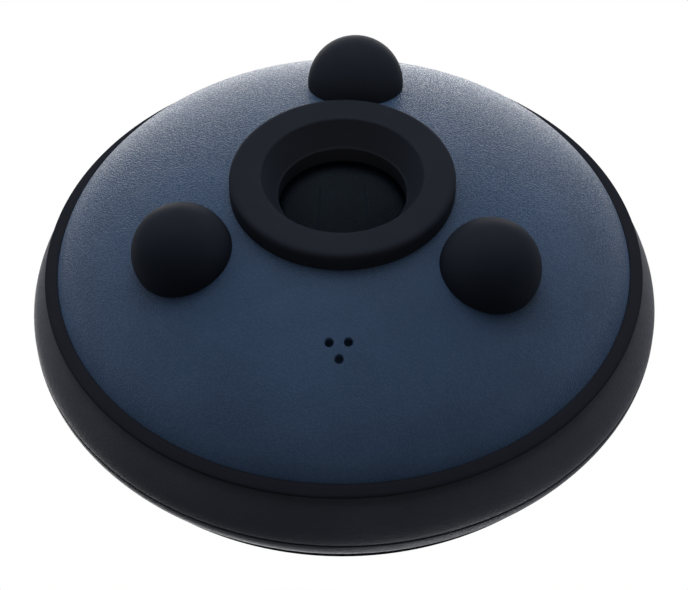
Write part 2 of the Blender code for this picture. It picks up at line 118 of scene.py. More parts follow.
# %% Driving sizes
STEEL = 0.0016
BOTTOM_DOME = {"span": 0.13923, "rise": 0.0580, "set_off": 0.0199}
TOP_DOME = {"span": 0.1460, "rise": 0.0460, "set_off": 0.0076}
LOWER_LEDGE = {"radius": 0.1430, "depth": 0.0229}
UPPER_LEDGE = {"radius": 0.1413, "depth": 0.0190}
LEDGE_WIDTH = 0.0110
AROUND = 256


def dome_line(dome, angles, offset=0.0):
    """Radius, span times cosine, and depth, set-off plus rise times sine, at ellipse angles.

    Both are moved outwards along the ellipse's normal by offset.
    """
    across = np.cos(angles) / dome["span"]
    along = np.sin(angles) / dome["rise"]
    length = np.hypot(across, along)
    radius = dome["span"] * np.cos(angles) + offset * across / length
    depth = dome["set_off"] + dome["rise"] * np.sin(angles) + offset * along / length
    return np.stack([np.maximum(radius, 0.0), depth], axis=-1)


def angle_at_radius(dome, radius):
    """Ellipse angle where the dome's outer line has this radius."""
    return math.acos(radius / dome["span"])


def angle_at_depth(dome, depth):
    """Ellipse angle where the dome's outer line has this depth from the seam."""
    return math.asin((depth - dome["set_off"]) / dome["rise"])


print("dome pole below the seam:", dome_line(BOTTOM_DOME, math.pi / 2)[1])

# %% [markdown]
# ## Turning a profile into a surface
# A pressed dome, a rim and a rubber ring are all turned shapes. Blender's Screw modifier could
# turn a profile, but a grid worked out with numpy gives the same surface in one step and keeps
# the profile's rounded corners as plain numbers. Every corner that light can catch gets a small
# arc, because a perfectly sharp edge looks like paper.

# %% Helpers for turned shapes
DOUBLES_WITHIN = 0.000001


def turned_grid(line, around=AROUND):
    """For every angle: radius times its cosine, radius times its sine, and the height."""
    angles = np.linspace(0.0, 2.0 * np.pi, around, endpoint=False)
    radius = line[:, 0][:, None]
    height = np.repeat(line[:, 1][:, None], around, axis=1)
    grid = np.stack([radius * np.cos(angles), radius * np.sin(angles), height], axis=2)
    return grid.reshape(-1, 3)


def grid_faces(rows, columns, closed_rows):
    """Quads between neighbouring rows and columns of a grid; columns always join up."""
    last = rows if closed_rows else rows - 1
    row, column = np.meshgrid(np.arange(last), np.arange(columns), indexing="ij")
    below = (row + 1) % rows
    beside = (column + 1) % columns
    corners = [row * columns + column, below * columns + column,
               below * columns + beside, row * columns + beside]
    return np.stack([corner.ravel() for corner in corners], axis=1).tolist()


def outward_mesh(name, vertices, faces, merge=True):
    """A smooth mesh whose faces point outwards, its doubles merged unless merge is off."""
    mesh = bpy.data.meshes.new(name)
    mesh.from_pydata(vertices.tolist(), [], faces)
    shape = bmesh.new()
    shape.from_mesh(mesh)
    if merge:
        bmesh.ops.remove_doubles(shape, verts=shape.verts, dist=DOUBLES_WITHIN)
    bmesh.ops.recalc_face_normals(shape, faces=shape.faces)
    shape.to_mesh(mesh)
    shape.free()
    mesh.shade_smooth()
    return mesh


def add_piece(name, data):
    """An object with this name and data in the scene's own collection."""
    piece = bpy.data.objects.new(name, data)
    bpy.context.scene.collection.objects.link(piece)
    return piece


def turned_piece(name, line, closed=True, around=AROUND):
    """A turned piece from a line of (radius, height) points."""
    line = np.asarray(line, dtype=float)
    faces = grid_faces(len(line), around, closed)
    piece = add_piece(name, outward_mesh(name, turned_grid(line, around), faces))
    print(name, len(piece.data.polygons), "faces")
    return piece


print("columns round a turned piece:", AROUND)

# %% [markdown]
# ### Rounding a profile's corners
# A Bevel modifier could round the edges after turning, but thin walls easily upset it. Rounding
# the flat line first is exact and quick: every corner carries its own radius.

# %% Rounded lines
STRAIGHTEST = 0.9999
LONGEST_TANGENT = 0.48


def rounded(corners, steps=5):
    """A closed line through (x, y, radius) corners, each corner an arc tangent to both sides.

    The arc starts and ends at the radius over the tangent of half the corner's angle from the
    corner. Its points follow a quadratic Bezier curve, close enough to a circle here.
    """
    corners = np.asarray(corners, dtype=float)
    points, radii = corners[:, :2], corners[:, 2]
    before = np.roll(points, 1, axis=0) - points
    after = np.roll(points, -1, axis=0) - points
    reach_before = np.linalg.norm(before, axis=1)
    reach_after = np.linalg.norm(after, axis=1)
    before /= reach_before[:, None]
    after /= reach_after[:, None]
    cosine = np.clip((before * after).sum(axis=1), -STRAIGHTEST, STRAIGHTEST)
    half = np.arccos(cosine) / 2
    longest = LONGEST_TANGENT * np.minimum(reach_before, reach_after)
    tangent = np.minimum(radii / np.tan(half), longest)
    start = points + before * tangent[:, None]
    end = points + after * tangent[:, None]
    share = np.linspace(0.0, 1.0, steps + 1)[None, :, None]
    arcs = (1 - share) ** 2 * start[:, None] + 2 * share * (1 - share) * points[:, None]
    arcs = arcs + share ** 2 * end[:, None]
    return np.concatenate([arc if radius > 0 else point[None]
                           for arc, point, radius in zip(arcs, points, radii)])


def under(line):
    """Depth below the seam to height from the floor."""
    line = np.asarray(line, dtype=float)
    return np.stack([line[:, 0], SEAM_Z - line[:, 1]], axis=1)


def over(line):
    """Height above the seam to height from the floor."""
    line = np.asarray(line, dtype=float)
    return np.stack([line[:, 0], SEAM_Z + line[:, 1]], axis=1)


print("points of a rounded triangle:", len(rounded([(0, 0, 1), (9, 0, 1), (0, 9, 1)])))

# %% [markdown]
# ## The two domes
# Each dome is sheet steel 1.6 mm thick. The outer line and the inner line are the same ellipse,
# one moved in along its normal by the sheet's thickness, and a half circle joins them at the
# edge. The edge of each dome sits in a rubber channel, whose floor decides where it ends.

# %% Dome surfaces
CHANNEL_GAP = 0.0003
CHANNEL_FLOOR = 0.0014
DOME_ROWS = 72
ROW_CROWDING = 1.15
FITTING_STEPS = 8


def dome_edge_angle(dome, ledge):
    """Ellipse angle at which the sheet's inner corner just clears the channel's floor."""
    floor_depth = ledge["depth"] + 2 * CHANNEL_GAP + CHANNEL_FLOOR
    angle = angle_at_depth(dome, floor_depth)
    for _ in range(FITTING_STEPS):
        lost = dome_line(dome, angle)[1] - dome_line(dome, angle, -STEEL)[1]
        angle = angle_at_depth(dome, floor_depth + lost)
    return angle


def half_round(start, end, steps=6):
    """Points of a half circle from start to end, bulging to the right of the way they go."""
    centre = (start + end) / 2
    arm = start - centre
    turn = np.linspace(0.0, np.pi, steps + 1)[1:-1, None]
    side = np.array([arm[1], -arm[0]])
    return centre + arm * np.cos(turn) - side * np.sin(turn)


def dome_section(dome, ledge, end_angle):
    """Closed line of a dome's sheet: outer side, rounded edges, inner side."""
    start = dome_edge_angle(dome, ledge)
    share = np.linspace(0.0, 1.0, DOME_ROWS) ** ROW_CROWDING
    angles = start + (end_angle - start) * share
    outer = dome_line(dome, angles)
    inner = dome_line(dome, angles, -STEEL)[::-1]
    edge_lip = half_round(inner[-1], outer[0])
    if end_angle < math.pi / 2:
        hole_lip = half_round(outer[-1], inner[0])
        return np.concatenate([outer, hole_lip, inner, edge_lip])
    return np.concatenate([inner, edge_lip, outer])


PORT_HOLE_RADIUS = 0.0372
port_angle = angle_at_radius(BOTTOM_DOME, PORT_HOLE_RADIUS)
bottom_line = dome_section(BOTTOM_DOME, LOWER_LEDGE, port_angle)
bottom_dome = turned_piece("bottom_dome", under(bottom_line))

top_line = dome_section(TOP_DOME, UPPER_LEDGE, math.pi / 2)
top_dome = turned_piece("top_dome", over(top_line), closed=False)

# %% [markdown]
# ## Cutting the tongues
# A tongue is set free by one U-shaped slot, sawn or laser-cut through the dome, and its round
# tip rings when it is struck. A slot could be a straight prism, but the coat of paint always
# rounds its rim a little. So the cutter widens where it passes the outer surface: each level of
# the cutter is the slot's outline at its own width, lifted onto the dome by its own height.

# %% Slot outlines
TONGUE_COUNT = 8
TONGUE_ROOT_RADIUS = 0.1120
TONGUE_LONGEST = 0.0660
TONGUE_SHORTEST = 0.0470
TONGUE_WIDEST = 0.0350
TONGUE_NARROWEST = 0.0290
TONGUE_ROOT_TAPER = 0.84
CENTRE_TONGUE_RADIUS = 0.0220
CENTRE_TONGUE_HINGE = math.radians(74.0)
SLOT_WIDTH = 0.0022
FRONT = -math.pi / 2


def tongue_path(length, width, nose_steps=40, leg_steps=24):
    """U-shaped line: a straight leg, a half circle at the tip and the other leg."""
    tip = TONGUE_ROOT_RADIUS - length + width / 2
    turn = np.linspace(math.pi / 2, 3 * math.pi / 2, nose_steps)
    nose = np.stack([tip + width / 2 * np.cos(turn), width / 2 * np.sin(turn)], axis=1)
    root = np.array([TONGUE_ROOT_RADIUS, TONGUE_ROOT_TAPER * width / 2])
    share = np.linspace(0.0, 1.0, leg_steps, endpoint=False)[:, None]
    leg = root + (nose[0] - root) * share
    return np.concatenate([leg, nose, (leg * [1.0, -1.0])[::-1]])


def centre_path(steps=96):
    """Open circle round the centre tongue, its gap being the hinge."""
    turn = np.linspace(CENTRE_TONGUE_HINGE / 2, 2 * math.pi - CENTRE_TONGUE_HINGE / 2, steps)
    return CENTRE_TONGUE_RADIUS * np.stack([np.cos(turn), np.sin(turn)], axis=1)


def path_normals(path):
    """Unit vectors to the left of the path, from the difference of its neighbours."""
    along = np.gradient(path, axis=0)
    along /= np.linalg.norm(along, axis=1)[:, None]
    return np.stack([-along[:, 1], along[:, 0]], axis=1)


def slot_level(path, normals, half, cap_steps=8):
    """Closed outline at distance half from the path: left side, round end, right side, end."""
    left = path + normals * half
    right = path - normals * half
    turn = np.linspace(0.0, math.pi, cap_steps + 1)[1:-1, None]

    def cap(centre, normal):
        forward = np.array([normal[1], -normal[0]])
        return centre + half * (normal * np.cos(turn) + forward * np.sin(turn))

    return np.concatenate([left, cap(path[-1], normals[-1]),
                           right[::-1], cap(path[0], -normals[0])])


print("longest tongue", TONGUE_LONGEST, "shortest", TONGUE_SHORTEST, "slot", SLOT_WIDTH)

# %% [markdown]
# ### The cutters
# Each cutter is a stack of such outlines, one per level. A thick curve could be the saw as
# well, but it would not flare where it leaves the sheet.

# %% Slot cutters
RIM_ROUND = 0.00045
CUT_MARGIN = 0.0030
FLARE_LEVELS = 5
WIDEST_FLARE = 1.2 * RIM_ROUND


def skin_height(flat, dome, side):
    """Set-off plus rise times the root of 1 less the squared share of span, up or down by side."""
    radius = np.linalg.norm(flat, axis=1) / dome["span"]
    return SEAM_Z + side * dome["set_off"] + side * dome["rise"] * np.sqrt(1 - radius ** 2)


def cutter_levels():
    """Pairs of (height over the dome's surface, extra half width): straight, then flared."""
    turn = np.linspace(0.0, math.pi / 2, FLARE_LEVELS)
    flare = np.stack([-RIM_ROUND + RIM_ROUND * np.sin(turn), RIM_ROUND * (1 - np.cos(turn))],
                     axis=1)
    straight = np.array([[-STEEL - CUT_MARGIN, 0.0], [-STEEL / 2 - RIM_ROUND, 0.0]])
    lifted = np.array([[CUT_MARGIN / 2, WIDEST_FLARE], [CUT_MARGIN, WIDEST_FLARE]])
    return np.concatenate([straight, flare, lifted])


def slot_cutter(path, angle):
    """Vertices and faces of one cutter; quads across the two sides close it at both ends."""
    normals = path_normals(path)
    levels = cutter_levels()
    outlines = np.stack([slot_level(path, normals, SLOT_WIDTH / 2 + extra)
                         for extra in levels[:, 1]])
    count, size = outlines.shape[:2]
    turn = np.array([[math.cos(angle), math.sin(angle)], [-math.sin(angle), math.cos(angle)]])
    flat = outlines.reshape(-1, 2) @ turn
    height = skin_height(flat, TOP_DOME, 1) + np.repeat(levels[:, 0], size)
    vertices = np.column_stack([flat, height])
    sides = grid_faces(count, size, False)
    length = len(path)
    caps = (size - 2 * length) // 2
    step = np.arange(length - 1)
    mirror = 2 * length + caps - 1 - step
    across = np.stack([step, step + 1, mirror - 1, mirror], axis=1)
    far_end = [list(range(length - 1, length + caps + 1))]
    near_end = [[*range(2 * length + caps - 1, size), 0]]
    top = (count - 1) * size
    lids = [[index + shift for index in face] for shift in (0, top)
            for face in [*across.tolist(), *far_end, *near_end]]
    return vertices, sides + lids


print("levels of a cutter:", len(cutter_levels()))

# %% [markdown]
# ### Laying out and cutting
# The lowest note has the longest tongue and lies in front, and the notes rise from side to side.
# All cutters are joined into one mesh, because one Boolean cut is cleaner than nine.

# %% Cut the tongues
def note_rank(position):
    """Order in the scale: lowest in front, then rising from side to side."""
    if position == 0:
        return 0
    return 2 * position - 1 if position <= TONGUE_COUNT // 2 else 2 * (TONGUE_COUNT - position)


def all_slot_cutters():
    """One cutter for each ring tongue and one for the centre tongue."""
    for position in range(TONGUE_COUNT):
        share = note_rank(position) / (TONGUE_COUNT - 1)
        length = TONGUE_LONGEST + (TONGUE_SHORTEST - TONGUE_LONGEST) * share
        width = TONGUE_WIDEST + (TONGUE_NARROWEST - TONGUE_WIDEST) * share
        turn = FRONT + 2 * math.pi * position / TONGUE_COUNT
        yield slot_cutter(tongue_path(length, width), turn)
    yield slot_cutter(centre_path(), -FRONT)


def join_cutters(name, cutters):
    """All cutters as one mesh of separate closed bodies."""
    vertices, faces, start = [], [], 0
    for points, polygons in cutters:
        vertices.append(points)
        faces += [[index + start for index in face] for face in polygons]
        start += len(points)
    return add_piece(name, outward_mesh(name, np.concatenate(vertices), faces, merge=False))


def cut_away(piece, cutter):
    """Subtract the cutter and keep the result as the piece's own mesh."""
    saw = piece.modifiers.new("cut", "BOOLEAN")
    saw.operation = "DIFFERENCE"
    saw.solver = "EXACT"
    saw.object = cutter
    bpy.context.view_layer.update()
    result = bpy.data.meshes.new_from_object(
        piece.evaluated_get(bpy.context.evaluated_depsgraph_get()))
    piece.modifiers.clear()
    piece.data = result
    bpy.data.objects.remove(cutter)


cut_away(top_dome, join_cutters("slot_cutters", all_slot_cutters()))
print("top dome after cutting:", len(top_dome.data.polygons), "faces")

# %% [markdown]
# ## Plain dots on the underside
# Three plain round holes pass through the bottom dome in front of the port. A cylinder could cut
# each, but a plug that flares at the surface, like the slots' cutters, leaves a soft rim.

# %% Dots
DOT_RADIUS = 0.0020
DOT_COUNT = 3
DOT_PATTERN_RADIUS = 0.0050
DOT_PLACE = np.array([0.0026, -0.0906])
DOT_AROUND = 40


def dot_cutter(centre):
    """A round plug through the bottom dome, flared at the outer surface."""
    levels = cutter_levels()
    turn = np.linspace(0.0, 2 * math.pi, DOT_AROUND, endpoint=False)
    ring = np.stack([np.cos(turn), np.sin(turn)], axis=1)
    flat = np.concatenate([centre + ring * (DOT_RADIUS + extra) for extra in levels[:, 1]])
    height = skin_height(flat, BOTTOM_DOME, -1) - np.repeat(levels[:, 0], DOT_AROUND)
    sides = grid_faces(len(levels), DOT_AROUND, False)
    last = (len(levels) - 1) * DOT_AROUND
    lids = [list(range(DOT_AROUND)), list(range(last, last + DOT_AROUND))]
    return np.column_stack([flat, height]), sides + lids


def all_dot_cutters():
    """One plug for each dot, evenly round the middle of their pattern."""
    for index in range(DOT_COUNT):
        turn = FRONT + 2 * math.pi * index / DOT_COUNT
        towards = np.array([math.cos(turn), math.sin(turn)])
        yield dot_cutter(DOT_PLACE + DOT_PATTERN_RADIUS * towards)


cut_away(bottom_dome, join_cutters("dot_cutters", all_dot_cutters()))
print("bottom dome after cutting:", len(bottom_dome.data.polygons), "faces")

# %% [markdown]
# ## Smooth light on a cut dome
# A Boolean leaves long thin faces round each cut, and averaged normals smear light over them.
# The true normal of the dome is known from its formula, so every face corner on the dome is
# given that normal, and only the walls of the cuts keep their own. On the outer skin the tilt
# is held back near the edge, where the photographed dome keeps its tone. The shape stays.

# %% Dome normals
EASE_FROM = math.radians(22.0)
EASE = 0.36
SKIN_LEAN = 0.995
FLATTEST = 0.000001


def ellipse_normals(points, dome, side):
    """Unit gradient of the dome's ellipsoid at each point; side is 1 for up, -1 for down."""
    base = SEAM_Z + side * dome["set_off"]
    gradient = np.column_stack([points[:, :2] / dome["span"] ** 2,
                                (points[:, 2] - base) / dome["rise"] ** 2])
    return gradient / np.linalg.norm(gradient, axis=1)[:, None]


def corner_arrays(mesh):
    """For every face corner its point, its shading normal and its face's normal."""
    loops = np.empty(len(mesh.loops), dtype=np.int32)
    mesh.loops.foreach_get("vertex_index", loops)
    points = np.empty(len(mesh.vertices) * 3)
    mesh.vertices.foreach_get("co", points)
    points = points.reshape(-1, 3)[loops]
    normals = np.empty(len(loops) * 3)
    mesh.corner_normals.foreach_get("vector", normals)
    starts = np.empty(len(mesh.polygons), dtype=np.int32)
    mesh.polygons.foreach_get("loop_start", starts)
    facing = np.empty(len(mesh.polygons) * 3)
    mesh.polygons.foreach_get("normal", facing)
    counts = np.diff(np.append(starts, len(loops)))
    facing = np.repeat(facing.reshape(-1, 3), counts, axis=0)
    return points, normals.reshape(-1, 3), facing


def eased_tilt(normals):
    """The same directions with the tilt past EASE_FROM held back by the share EASE."""
    flat = np.linalg.norm(normals[:, :2], axis=1)
    tilt = np.arctan2(flat, np.abs(normals[:, 2]))
    eased = tilt - EASE * np.maximum(tilt - EASE_FROM, 0.0)
    level = normals[:, :2] * (np.sin(eased) / np.maximum(flat, FLATTEST))[:, None]
    return np.column_stack([level, np.sign(normals[:, 2]) * np.cos(eased)])


def set_dome_normals(piece, dome, side):
    """Eased formula normals on the outer skin, true ones inside, smoothed ones elsewhere."""
    mesh = piece.data
    mesh.shade_smooth()
    points, normals, facing = corner_arrays(mesh)
    true = ellipse_normals(points, dome, side)
    lean = (facing * true).sum(axis=1)
    outer, inner = lean > SKIN_LEAN, lean < -SKIN_LEAN
    normals[outer] = eased_tilt(true[outer])
    normals[inner] = -true[inner]
    mesh.normals_split_custom_set(normals.tolist())
    print(piece.name, "corners on the skins:", int(outer.sum() + inner.sum()))


set_dome_normals(top_dome, TOP_DOME, 1)
set_dome_normals(bottom_dome, BOTTOM_DOME, -1)

# %% [markdown]
# ## The rim bands
# Two pressed bands make the drum's side, meeting at the seam. Each stands upright at the seam,
# curves inwards and turns sharply into a flat ledge that carries the dome's rubber channel.

# %% Rim bands
RIM_STRAIGHT = 0.0015
RIM_BULGE = 1.6
SEAM_OPENING = 0.0005
RIM_ROWS = 28
RIM_CORNER = 0.0009


def rim_line(ledge):
    """Closed line of a rim band: its outer face, ledge, inner face and rounded edges."""
    start = SEAM_OPENING + RIM_STRAIGHT
    share = np.linspace(0.0, 1.0, RIM_ROWS)
    inset = (SEAM_RADIUS - ledge["radius"]) * share ** RIM_BULGE
    outer = np.stack([SEAM_RADIUS - inset, start + (ledge["depth"] - start) * share], axis=1)
    along = np.gradient(outer, axis=0)
    along /= np.linalg.norm(along, axis=1)[:, None]
    inner = outer + np.stack([-along[:, 1], along[:, 0]], axis=1) * STEEL
    inner = inner[inner[:, 1] < ledge["depth"] - STEEL - RIM_CORNER]
    ledge_end = ledge["radius"] - LEDGE_WIDTH
    edge = STEEL / 4
    corners = [(SEAM_RADIUS, SEAM_OPENING, edge)]
    corners += [(*point, 0.0) for point in outer[:-1]]
    corners += [(ledge["radius"], ledge["depth"], RIM_CORNER), (ledge_end, ledge["depth"], edge),
                (ledge_end, ledge["depth"] - STEEL, edge),
                (inner[-1][0] - STEEL / 3, ledge["depth"] - STEEL, RIM_CORNER)]
    corners += [(*point, 0.0) for point in inner[::-1]]
    corners += [(SEAM_RADIUS - STEEL, SEAM_OPENING, edge)]
    return rounded(corners)


rim_band_lower = turned_piece("rim_band_lower", under(rim_line(LOWER_LEDGE)))
rim_band_upper = turned_piece("rim_band_upper", over(rim_line(UPPER_LEDGE)))

# %% [markdown]
# ## The rubber channels
# A channel is one moulded ring: a base on the ledge, a groove that holds the dome's edge and an
# outer lip that leans on the dome. Only the lip's rounded back shows. Its line is built from the
# dome's own formula, so the lip lies close on the steel and the groove clears it.

# %% Rubber channels
LIP_REACH = {"bottom": 0.0042, "top": 0.0052}
LIP_NOSE = 0.0024
LIP_CROWN = 0.0022
LIP_ROWS = 14
LIP_BACK_SHARE = 0.9
INNER_LIP = 0.0040
INNER_WALL = 0.0018
GROOVE_CLEARANCE = 0.0005
LIP_TOUCH = 0.00012


def channel_line(dome, ledge, reach):
    """Closed line of a rubber channel, its lip following the dome's outer line."""
    base = ledge["depth"] + CHANNEL_GAP
    floor = base + CHANNEL_FLOOR
    edge = dome_edge_angle(dome, ledge)
    tip = angle_at_depth(dome, base + reach)
    share = np.linspace(0.0, LIP_BACK_SHARE, LIP_ROWS)
    side = dome_line(dome, edge + (tip - edge) * share)[:, 0]
    full = ledge["radius"] - dome_line(dome, edge)[0]
    thinning = (full - LIP_NOSE) * share ** 2
    back = side + full - thinning + LIP_CROWN * np.sin(math.pi * share)
    outer = np.stack([back, base + reach * share], axis=1)
    nose = dome_line(dome, tip, LIP_TOUCH)
    groove = dome_line(dome, edge, GROOVE_CLEARANCE)
    groove_in = dome_line(dome, edge, -STEEL - GROOVE_CLEARANCE)
    lip_top = angle_at_depth(dome, dome_line(dome, edge)[1] + INNER_LIP)
    lip_in = dome_line(dome, lip_top, -STEEL - GROOVE_CLEARANCE)
    corners = [(outer[0][0], outer[0][1], LIP_NOSE / 2)]
    corners += [(*point, 0.0) for point in outer[1:]]
    corners += [(nose[0] + LIP_NOSE, nose[1], LIP_NOSE), (*nose, LIP_NOSE / 8),
                (*groove, 0.0), (groove[0], floor, 0.0), (groove_in[0], floor, 0.0),
                (*lip_in, LIP_NOSE / 4), (lip_in[0] - INNER_WALL, lip_in[1], LIP_NOSE / 2),
                (lip_in[0] - INNER_WALL, base, LIP_NOSE / 2)]
    return rounded(corners)


channel_bottom = turned_piece("rubber_channel_bottom",
                              under(channel_line(BOTTOM_DOME, LOWER_LEDGE, LIP_REACH["bottom"])))
channel_top = turned_piece("rubber_channel_top",
                           over(channel_line(TOP_DOME, UPPER_LEDGE, LIP_REACH["top"])))

# %% [markdown]
# ### The seam bead
# A thin dark ring lies a little back between the two rim edges. A painted line would look flat,
# while a set-back ring has real depth and shadow.

# %% Seam bead
BEAD_RECESS = 0.0006
BEAD_HALF_WEB = 0.0003
BEAD_HALF_BACK = 0.0030
BEAD_BACK_WIDTH = 0.0025


def bead_line():
    """Closed T-shaped line: a thin web out to the seam and a wider back behind the rim."""
    web = SEAM_RADIUS - BEAD_RECESS
    back = SEAM_RADIUS - STEEL - GROOVE_CLEARANCE
    inner = back - BEAD_BACK_WIDTH
    half, tall = BEAD_HALF_WEB, BEAD_HALF_BACK
    nose, soft = half / 2, tall / 6
    return rounded([(inner, tall, soft), (back - soft, tall, soft), (back, half, 0.0),
                    (web, half, nose), (web, -half, nose), (back, -half, 0.0),
                    (back - soft, -tall, soft), (inner, -tall, soft)])


seam_bead = turned_piece("seam_bead", over(bead_line()))

# %% [markdown]
# ## The port ring
# The sound port is lined by one thick rubber grommet: a flat-faced outer flange, a funnel that
# narrows inwards, a straight sleeve into the drum and a hidden inner flange. Its corners are
# soft, with a wide round at the outer edge and a tight one at the mouth.

# %% Port ring
PORT_RING_RADIUS = 0.0530
PORT_FACE_DEPTH = 0.0831
PORT_ROUND = 0.0031
PORT_MOUTH_RADIUS = 0.0380
PORT_MOUTH_ROUND = 0.0014
PORT_THROAT_RADIUS = 0.0312
PORT_THROAT_DEPTH = 0.0715
PORT_SLEEVE_RADIUS = 0.0303
PORT_SLEEVE_DEPTH = 0.0623
PORT_SLEEVE_WALL = 0.0026
PORT_INNER_FLANGE_RADIUS = 0.0417
PORT_INNER_FLANGE = 0.0045
PORT_NECK_CLEARANCE = 0.0004
SEAT_TOUCH = 0.00008
SEAT_MARGIN = 0.0002
SEAT_POINTS = 8
THROAT_ROUND = 0.0006
STEP_ROUND = 0.0003
EDGE_ROUND = 0.0005
FLANGE_ROUND = 0.0010
HOOK_ROUND = 0.0004
PORT_ARC_STEPS = 8
PORT_AROUND = 192


def port_ring_line():
    """Closed line of the grommet; its underside follows the dome it is seated on."""
    seat = angle_at_radius(BOTTOM_DOME, PORT_RING_RADIUS - SEAT_MARGIN)
    hole = angle_at_radius(BOTTOM_DOME, PORT_HOLE_RADIUS)
    underside = dome_line(BOTTOM_DOME, np.linspace(hole, seat, SEAT_POINTS), SEAT_TOUCH)
    neck = PORT_HOLE_RADIUS - PORT_NECK_CLEARANCE
    inside = [dome_line(BOTTOM_DOME, angle_at_radius(BOTTOM_DOME, radius), -STEEL - CHANNEL_GAP)
              for radius in (PORT_HOLE_RADIUS, PORT_INNER_FLANGE_RADIUS)]
    flange_depth = inside[1][1] - PORT_INNER_FLANGE
    step_depth = PORT_THROAT_DEPTH - (PORT_THROAT_RADIUS - PORT_SLEEVE_RADIUS)
    sleeve_back = PORT_SLEEVE_RADIUS + PORT_SLEEVE_WALL
    corners = [(PORT_RING_RADIUS, PORT_FACE_DEPTH, PORT_ROUND),
               (PORT_MOUTH_RADIUS, PORT_FACE_DEPTH, PORT_MOUTH_ROUND),
               (PORT_THROAT_RADIUS, PORT_THROAT_DEPTH, THROAT_ROUND),
               (PORT_SLEEVE_RADIUS, step_depth, STEP_ROUND),
               (PORT_SLEEVE_RADIUS, PORT_SLEEVE_DEPTH, EDGE_ROUND),
               (sleeve_back, PORT_SLEEVE_DEPTH, THROAT_ROUND),
               (sleeve_back, flange_depth, THROAT_ROUND),
               (PORT_INNER_FLANGE_RADIUS, flange_depth, FLANGE_ROUND),
               (*inside[1], HOOK_ROUND),
               (neck, inside[0][1], 0.0), (neck, underside[0][1], 0.0)]
    corners += [(*point, 0.0) for point in underside[1:-1]]
    corners += [(PORT_RING_RADIUS, underside[-1][1], EDGE_ROUND)]
    return rounded(corners, PORT_ARC_STEPS)


port_grommet = turned_piece("port_grommet", under(port_ring_line()), around=PORT_AROUND)

# %% [markdown]
# ## The feet
# Each foot is a rubber ball seated on the dome. A sphere cut by a Boolean would do, but a grid of
# rays from the ball's centre gives a cleaner skin: every ray runs to the ball's radius, and the
# last row stops where it meets the dome. The base then follows the dome inwards to close it.
# The tip has a small worn flat to stand on, and its shading stays that of a ball.

# %% Feet
FOOT_NAMES = ("foot_back", "foot_left", "foot_right")
FOOT_FIRST_AZIMUTH = math.radians(95.1)
FOOT_ORBIT = 0.0815
FOOT_RADIUS = 0.0236
FOOT_STAND_OFF = 0.0005
FOOT_ROWS = 44
FOOT_COLUMNS = 96
FOOT_BASE_ROWS = 10
FOOT_LIP = 0.0005
SEAT_LEVEL = 0.0012
SEARCH_FROM = 0.5
SEARCH_TO = 2.5
HALVINGS = 40
FOOT_SHARP_ANGLE = math.radians(50)
BALL_LEAN = 0.95
BALL_SHARE = 0.985


def foot_frame(azimuth):
    """Centre of the ball, its outward axis and two directions square to it."""
    around = np.array([math.cos(azimuth), math.sin(azimuth), 0.0])
    height = skin_height(np.array([[FOOT_ORBIT, 0.0]]), BOTTOM_DOME, -1)[0]
    on_dome = FOOT_ORBIT * around + [0.0, 0.0, height]
    outward = ellipse_normals(on_dome[None], BOTTOM_DOME, -1)[0]
    sideways = np.cross(outward, around)
    sideways /= np.linalg.norm(sideways)
    return on_dome + FOOT_STAND_OFF * outward, outward, np.cross(sideways, outward), sideways


def dome_inside(points):
    """Negative inside the bottom dome's ellipsoid, positive outside."""
    radius = np.linalg.norm(points[..., :2], axis=-1) / BOTTOM_DOME["span"]
    depth = (SEAM_Z - points[..., 2] - BOTTOM_DOME["set_off"]) / BOTTOM_DOME["rise"]
    return radius ** 2 + depth ** 2 - 1.0


def foot_grid(azimuth):
    """Rows of rays from the tip to the seat, then rows across the base to its middle."""
    centre, outward, first, second = foot_frame(azimuth)
    turn = np.linspace(0.0, 2 * math.pi, FOOT_COLUMNS, endpoint=False)[:, None]
    sideways = np.cos(turn) * first + np.sin(turn) * second

    def ball(polar):
        return centre + FOOT_RADIUS * (np.cos(polar)[..., None] * outward
                                       + np.sin(polar)[..., None] * sideways)

    low, high = np.full(FOOT_COLUMNS, SEARCH_FROM), np.full(FOOT_COLUMNS, SEARCH_TO)
    for _ in range(HALVINGS):
        middle = (low + high) / 2
        outside = dome_inside(ball(middle)) > SEAT_LEVEL
        low, high = np.where(outside, middle, low), np.where(outside, high, middle)
    share = np.sin(np.linspace(0.0, math.pi / 2, FOOT_ROWS))[:, None]
    skin = ball(low[None, :] * share)
    seat = skin[-1]
    shrink = np.linspace(1.0 - FOOT_LIP / FOOT_RADIUS, 0.0, FOOT_BASE_ROWS)[:, None, None]
    base = centre + (seat - centre) * shrink
    flat = base.reshape(-1, 3)[:, :2]
    height = skin_height(flat, BOTTOM_DOME, -1) - SEAT_TOUCH
    base[..., 2] = height.reshape(base.shape[:2])
    grid = np.concatenate([skin, base])
    grid[..., 2] = np.maximum(grid[..., 2], 0.0)
    return grid


def set_ball_normals(mesh, centre):
    """Normals straight out from the ball's centre on its skin and its small worn flat."""
    points, normals, facing = corner_arrays(mesh)
    away = points - centre
    distance = np.linalg.norm(away, axis=1)
    radial = away / distance[:, None]
    lean = (facing * radial).sum(axis=1)
    on_skin = (lean > BALL_LEAN) & (distance > BALL_SHARE * FOOT_RADIUS)
    normals[on_skin] = radial[on_skin]
    mesh.normals_split_custom_set(normals.tolist())


def make_foot(name, azimuth):
    """One foot's closed surface, with a sharp line only where skin meets base."""
    grid = foot_grid(azimuth)
    faces = grid_faces(grid.shape[0], FOOT_COLUMNS, False)
    foot = add_piece("rubber_" + name, outward_mesh(name, grid.reshape(-1, 3), faces))
    foot.data.set_sharp_from_angle(angle=FOOT_SHARP_ANGLE)
    set_ball_normals(foot.data, foot_frame(azimuth)[0])
    return foot


